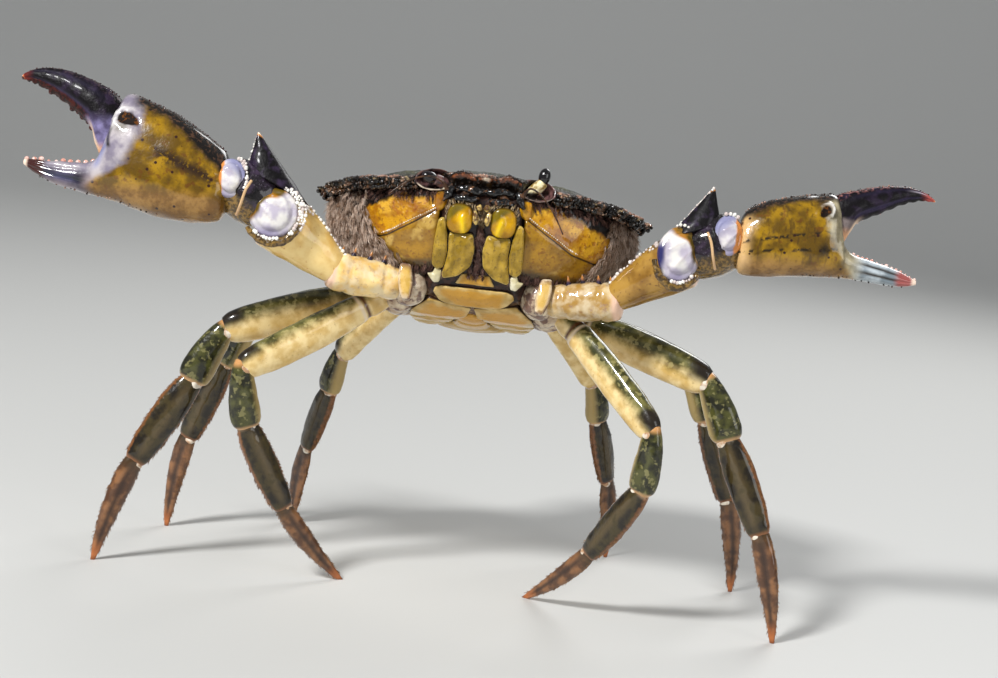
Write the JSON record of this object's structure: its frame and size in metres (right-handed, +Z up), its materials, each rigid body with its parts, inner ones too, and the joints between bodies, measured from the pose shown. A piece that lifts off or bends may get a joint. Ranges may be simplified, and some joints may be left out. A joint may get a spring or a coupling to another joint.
{
  "type": "green crab",
  "caption": "Adult male green crab, life size, standing nose up on its walking legs with both claws raised and spread wide open.",
  "frame": {"origin": "on the floor, under the centre of the bounding box", "axes": "+Z up; +X towards the crab's left claw, the longest extent; +Y towards the rear of the body, so the crab faces -Y"},
  "size_m": [0.219, 0.079, 0.1194],
  "materials": {
    "carapace": "wet, glossy, almost black olive with a paler granular edge",
    "cheek": "wet, glossy, yellow orange, hairy towards the sides",
    "mouth": "wet, glossy, golden yellow and olive",
    "belly": "glossy cream with yellow patches and dark seams",
    "eyestalk": "glossy, pale yellow",
    "eye": "black, very glossy",
    "feeler": "brown",
    "claw_arm": "glossy cream yellow",
    "claw_wrist": "glossy, black olive, cream at the joints",
    "claw_palm": "glossy ochre with dark spots, white by the fingers",
    "claw_finger": "glossy, purple black with a pale red tip",
    "leg_thigh": "glossy, mottled olive",
    "leg_wrist": "glossy, mottled dark olive",
    "leg_shin": "glossy, dark brown olive with orange edges",
    "leg_foot": "glossy orange tan with dark grooves"
  },
  "bodies": {
    "root": {"carapace": "carapace", "thorax": "belly", "tail": "belly", "flank_left": "cheek", "flank_right": "cheek", "mouth_plate_left": "mouth", "mouth_plate_right": "mouth", "eyestalk_left": "eyestalk", "eyestalk_right": "eyestalk", "eye_left": "eye", "eye_right": "eye", "feeler_left": "feeler", "feeler_right": "feeler", "small_feeler_left": "feeler", "small_feeler_right": "feeler", "claw_base_left": "claw_arm", "claw_base_right": "claw_arm", "claw_arm_left": "claw_arm", "claw_arm_right": "claw_arm", "claw_wrist_left": "claw_wrist", "claw_wrist_right": "claw_wrist", "claw_palm_left": "claw_palm", "claw_palm_right": "claw_palm", "claw_finger_left": "claw_finger", "claw_finger_right": "claw_finger", "leg2_thigh_left": "leg_thigh", "leg2_thigh_right": "leg_thigh", "leg2_wrist_left": "leg_wrist", "leg2_wrist_right": "leg_wrist", "leg2_shin_left": "leg_shin", "leg2_shin_right": "leg_shin", "leg2_foot_left": "leg_foot", "leg2_foot_right": "leg_foot", "leg3_thigh_left": "leg_thigh", "leg3_thigh_right": "leg_thigh", "leg3_wrist_left": "leg_wrist", "leg3_wrist_right": "leg_wrist", "leg3_shin_left": "leg_shin", "leg3_shin_right": "leg_shin", "leg3_foot_left": "leg_foot", "leg3_foot_right": "leg_foot", "leg4_thigh_left": "leg_thigh", "leg4_thigh_right": "leg_thigh", "leg4_wrist_left": "leg_wrist", "leg4_wrist_right": "leg_wrist", "leg4_shin_left": "leg_shin", "leg4_shin_right": "leg_shin", "leg4_foot_left": "leg_foot", "leg4_foot_right": "leg_foot", "leg5_thigh_left": "leg_thigh", "leg5_thigh_right": "leg_thigh", "leg5_wrist_left": "leg_wrist", "leg5_wrist_right": "leg_wrist", "leg5_shin_left": "leg_shin", "leg5_shin_right": "leg_shin", "leg5_foot_left": "leg_foot", "leg5_foot_right": "leg_foot"}
  },
  "joints": []
}
